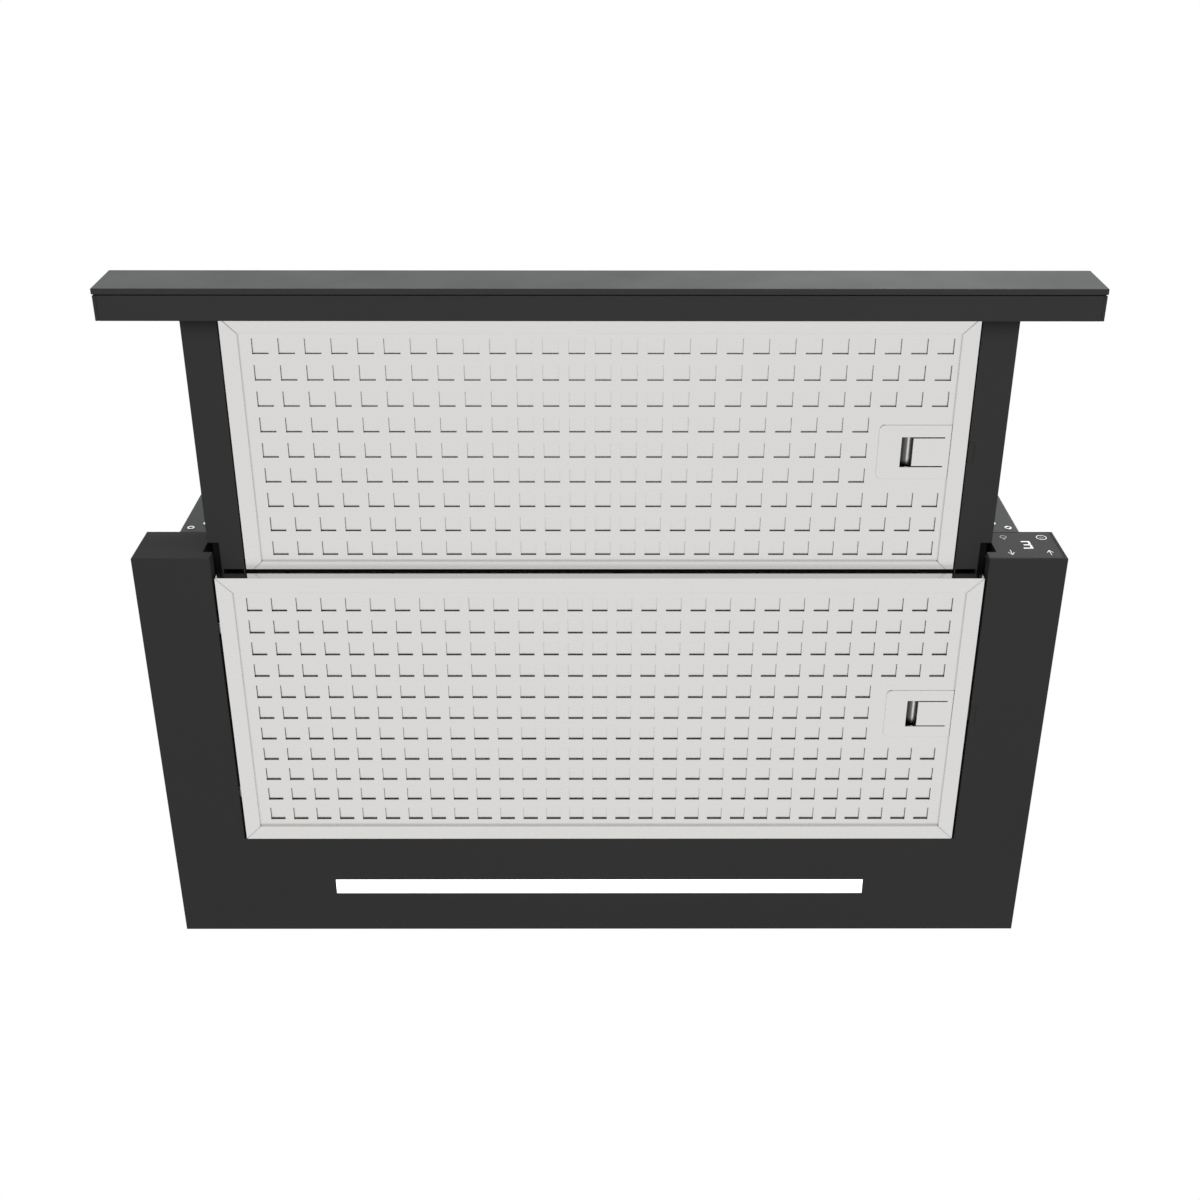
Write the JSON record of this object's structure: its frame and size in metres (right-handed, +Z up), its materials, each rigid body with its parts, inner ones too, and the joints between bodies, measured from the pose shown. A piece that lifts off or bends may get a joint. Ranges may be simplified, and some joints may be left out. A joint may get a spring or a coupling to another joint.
{
  "type": "telescopic range hood",
  "caption": "Slim built-in range hood with a pull-out drawer, two perforated grease filters, a lamp strip, touch panel and a boxed blower with a round duct spigot.",
  "frame": {"origin": "middle of the body's lower rear edge, where it meets the wall", "axes": "+X to the cook's right, +Y towards the wall, +Z up along the duct"},
  "size_m": [0.6, 0.4755, 0.285],
  "materials": {
    "body_paint": "fine satin powder coat, charcoal",
    "drawer_paint": "fine satin powder coat, charcoal",
    "bar_paint": "satin powder coat, charcoal",
    "trim_paint": "satin coat, dark grey",
    "panel_gloss": "dark grey touch panel, smooth",
    "housing_paint": "grey painted steel",
    "filter_steel": "brushed along X",
    "latch_steel": "bright spring steel",
    "slide_black": "black coated steel",
    "screw_zinc": "zinc plated screws",
    "blower_plastic": "moulded black plastic",
    "duct_plastic": "moulded black plastic",
    "motor_steel": "die-cast motor case",
    "shaft_steel": "ground steel",
    "bracket_steel": "galvanised sheet",
    "rubber": "black rubber",
    "lamp_lens": "opal white lens, lit",
    "board_green": "circuit board",
    "electric_plastic": "moulded plastic",
    "magnet": "ferrite block"
  },
  "bodies": {
    "hood": {"base_frame": "body_paint", "control_panel": "panel_gloss", "control_board": "board_green", "housing_side_right": "housing_paint", "housing_side_left": "housing_paint", "housing_back": "housing_paint", "housing_top": "housing_paint", "housing_front_plate": "housing_paint", "front_plate_screws": "screw_zinc", "base_screws": "screw_zinc", "scroll_right": "blower_plastic", "scroll_left": "blower_plastic", "scroll_screws": "screw_zinc", "motor": "motor_steel", "motor_bracket": "bracket_steel", "motor_mounts": "rubber", "outlet_collar": "duct_plastic", "collar_screws": "screw_zinc", "flap_pin": "screw_zinc", "led_diffuser": "lamp_lens", "led_holder": "bracket_steel", "led_board": "board_green", "led_driver": "electric_plastic", "power_box": "electric_plastic", "cable_gland": "electric_plastic", "slide_outer_right": "slide_black", "slide_outer_left": "slide_black", "drawer_sensor": "electric_plastic", "fixed_keeper": "body_paint"},
    "blower_wheel": {"motor_shaft": "shaft_steel", "impeller": "blower_plastic"},
    "flap_front": {"flap_front": "duct_plastic"},
    "flap_rear": {"flap_rear": "duct_plastic"},
    "slide_middles": {"slide_middle_right": "slide_black", "slide_middle_left": "slide_black"},
    "drawer": {"drawer_frame": "drawer_paint", "drawer_cover": "drawer_paint", "drawer_bumpers": "rubber", "drawer_magnet": "magnet", "front_bar": "bar_paint", "bar_screws": "screw_zinc", "bar_cap_right": "bar_paint", "bar_cap_left": "bar_paint", "front_trim": "trim_paint", "slide_inner_right": "slide_black", "slide_inner_left": "slide_black", "drawer_keeper": "drawer_paint"},
    "fixed_filter": {"fixed_filter_frame": "filter_steel", "fixed_filter_face": "filter_steel", "fixed_filter_back": "filter_steel", "fixed_filter_latch_plate": "filter_steel", "fixed_filter_latch_spring": "latch_steel"},
    "fixed_latch": {"fixed_filter_latch": "latch_steel"},
    "drawer_filter": {"drawer_filter_frame": "filter_steel", "drawer_filter_face": "filter_steel", "drawer_filter_back": "filter_steel", "drawer_filter_latch_plate": "filter_steel", "drawer_filter_latch_spring": "latch_steel"},
    "drawer_latch": {"drawer_filter_latch": "latch_steel"}
  },
  "joints": [
    {"name": "drawer_slide", "type": "slide", "parent": "hood", "child": "drawer", "axis": [0, -1, 0], "range_m": [-0.155, 0]},
    {"name": "slide_middle_run", "type": "slide", "parent": "hood", "child": "slide_middles", "axis": [0, -1, 0], "range_m": [-0.0775, 0]},
    {"name": "fixed_filter_swing", "type": "hinge", "parent": "hood", "child": "fixed_filter", "pos_m": [-0.24995, -0.1828, 0.0006], "axis": [0, 1, 0], "range_deg": [0, 60], "deforming": ["fixed_keeper"]},
    {"name": "drawer_filter_swing", "type": "hinge", "parent": "drawer", "child": "drawer_filter", "pos_m": [-0.2304, -0.3711, 0.0108], "axis": [0, 1, 0], "range_deg": [0, 60], "deforming": ["drawer_keeper"]},
    {"name": "fixed_latch_pull", "type": "slide", "parent": "fixed_filter", "child": "fixed_latch", "axis": [-1, 0, 0], "range_m": [0, 0.0022], "stiffness_N_per_m": 250, "springref_m": -0.004, "deforming": ["fixed_filter_latch_spring"]},
    {"name": "drawer_latch_pull", "type": "slide", "parent": "drawer_filter", "child": "drawer_latch", "axis": [-1, 0, 0], "range_m": [0, 0.0022], "stiffness_N_per_m": 250, "springref_m": -0.004, "deforming": ["drawer_filter_latch_spring"]},
    {"name": "fan_spin", "type": "hinge", "parent": "hood", "child": "blower_wheel", "pos_m": [0, -0.172, 0.13], "axis": [1, 0, 0], "continuous": true},
    {"name": "flap_front_lift", "type": "hinge", "parent": "hood", "child": "flap_front", "pos_m": [0, -0.132, 0.2465], "axis": [-1, 0, 0], "range_deg": [0, 75]},
    {"name": "flap_rear_lift", "type": "hinge", "parent": "hood", "child": "flap_rear", "pos_m": [0, -0.132, 0.2465], "axis": [1, 0, 0], "range_deg": [0, 75]}
  ],
  "couplings": [
    {"joint": "slide_middle_run", "follows": "drawer_slide", "ratio": 0.5}
  ]
}
